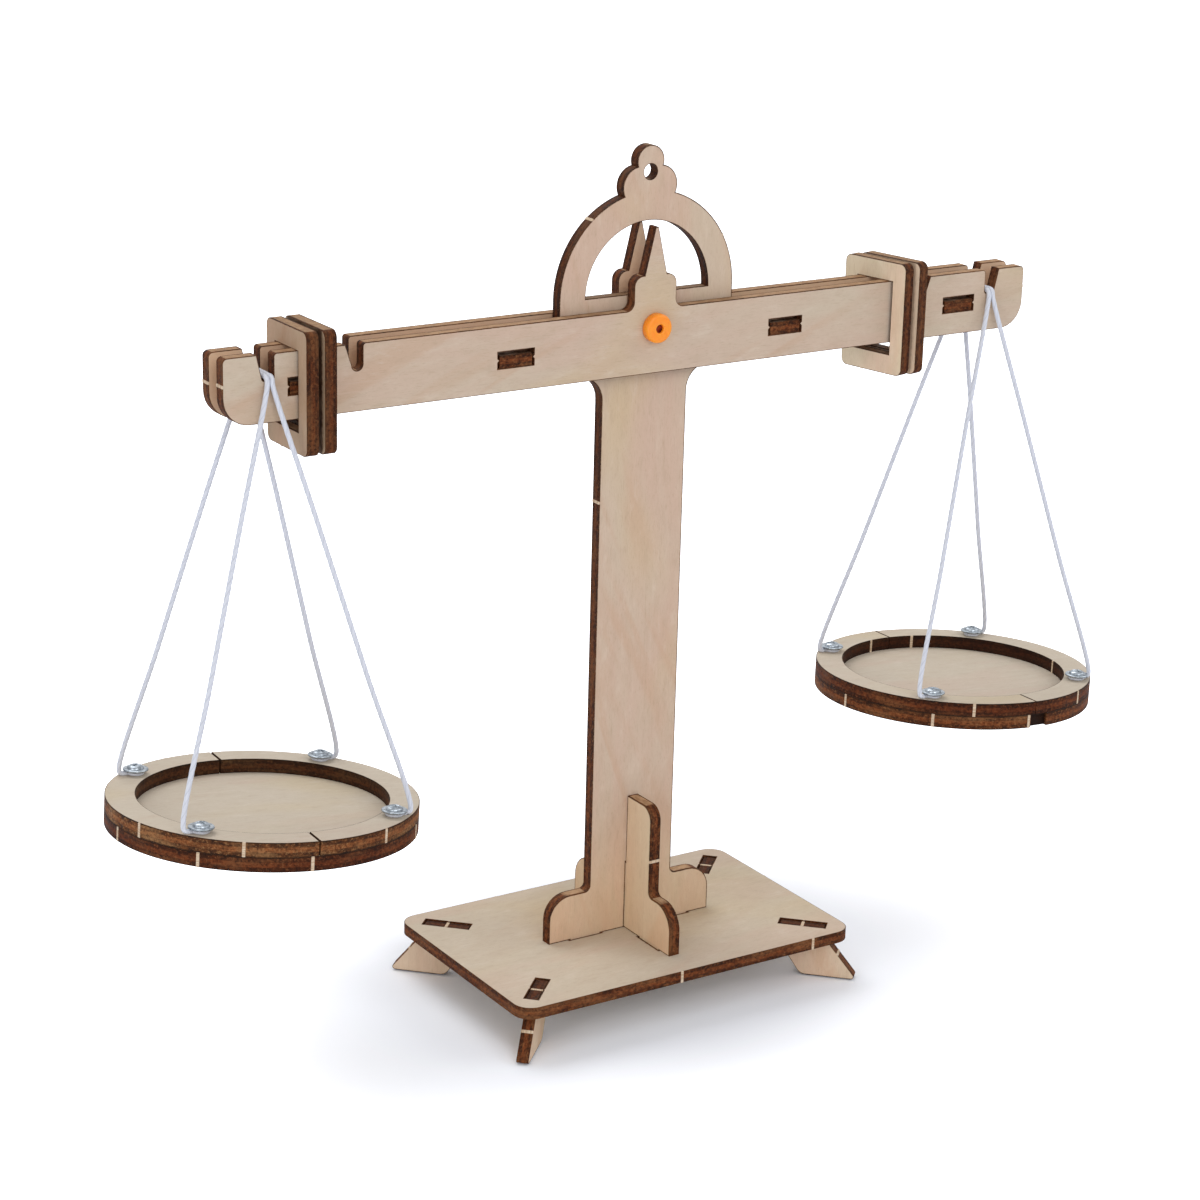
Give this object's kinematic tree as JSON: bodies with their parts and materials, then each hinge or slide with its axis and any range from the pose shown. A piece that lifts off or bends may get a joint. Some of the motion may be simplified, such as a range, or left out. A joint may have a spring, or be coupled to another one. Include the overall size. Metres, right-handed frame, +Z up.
{
  "type": "toy balance scale",
  "caption": "Toy balance scale cut from thin plywood: a slotted column on a footed base, a twin plate beam with pointer and sliding rider frames, and two round pans hung on strings",
  "frame": {"origin": "On the floor under the middle of the base plate, at the bottom of the four feet", "axes": "X runs along the beam toward the viewer's right, Y points from the viewer to the back, Z is up"},
  "size_m": [0.2743, 0.0722, 0.2104],
  "materials": {
    "ply_face": "raw sanded birch plywood",
    "ply_edge": "laser charred plywood edge",
    "pin_steel": "plain wire",
    "cap_orange": "soft satin",
    "screw_steel": "bright plated",
    "string_white": "waxed cotton string"
  },
  "bodies": {
    "stand": {"base_plate": "ply_face", "foot_front_left": "ply_edge", "foot_front_right": "ply_edge", "foot_back_left": "ply_edge", "foot_back_right": "ply_edge", "column": "ply_face", "brace_fin": "ply_face"},
    "beam": {"axle_pin": "pin_steel", "axle_cap_front": "cap_orange", "axle_cap_rear": "cap_orange", "beam_plate_front": "ply_face", "beam_plate_back": "ply_face", "spacer_outer_left": "ply_edge", "spacer_inner_left": "ply_edge", "spacer_inner_right": "ply_edge", "spacer_outer_right": "ply_edge"},
    "rider_left": {"rider_left_outer": "ply_face", "rider_left_inner": "ply_face"},
    "rider_right": {"rider_right_inner": "ply_face", "rider_right_outer": "ply_face"},
    "pan_left": {"pan_left_disc": "ply_face", "pan_left_ring_outer": "ply_face", "pan_left_ring_inner": "ply_face", "pan_left_screws": "screw_steel", "pan_left_string_outer": "string_white", "pan_left_string_inner": "string_white"},
    "pan_right": {"pan_right_disc": "ply_face", "pan_right_ring_outer": "ply_face", "pan_right_ring_inner": "ply_face", "pan_right_screws": "screw_steel", "pan_right_string_outer": "string_white", "pan_right_string_inner": "string_white"}
  },
  "joints": [
    {"name": "beam_tilt", "type": "hinge", "parent": "stand", "child": "beam", "pos_m": [0, 0, 0.1679], "axis": [0, 1, 0], "range_deg": [-20, 20]},
    {"name": "rider_left_slide", "type": "slide", "parent": "beam", "child": "rider_left", "axis": [1, 0, 0], "range_m": [0, 0.0576]},
    {"name": "rider_right_slide", "type": "slide", "parent": "beam", "child": "rider_right", "axis": [1, 0, 0], "range_m": [-0.037, 0.0137]},
    {"name": "pan_left_swing", "type": "hinge", "parent": "beam", "child": "pan_left", "pos_m": [-0.101, 0, 0.1672], "axis": [0, 1, 0], "range_deg": [-3, 25]},
    {"name": "pan_right_swing", "type": "hinge", "parent": "beam", "child": "pan_right", "pos_m": [0.101, 0, 0.1672], "axis": [0, 1, 0], "range_deg": [-25, 8]}
  ]
}
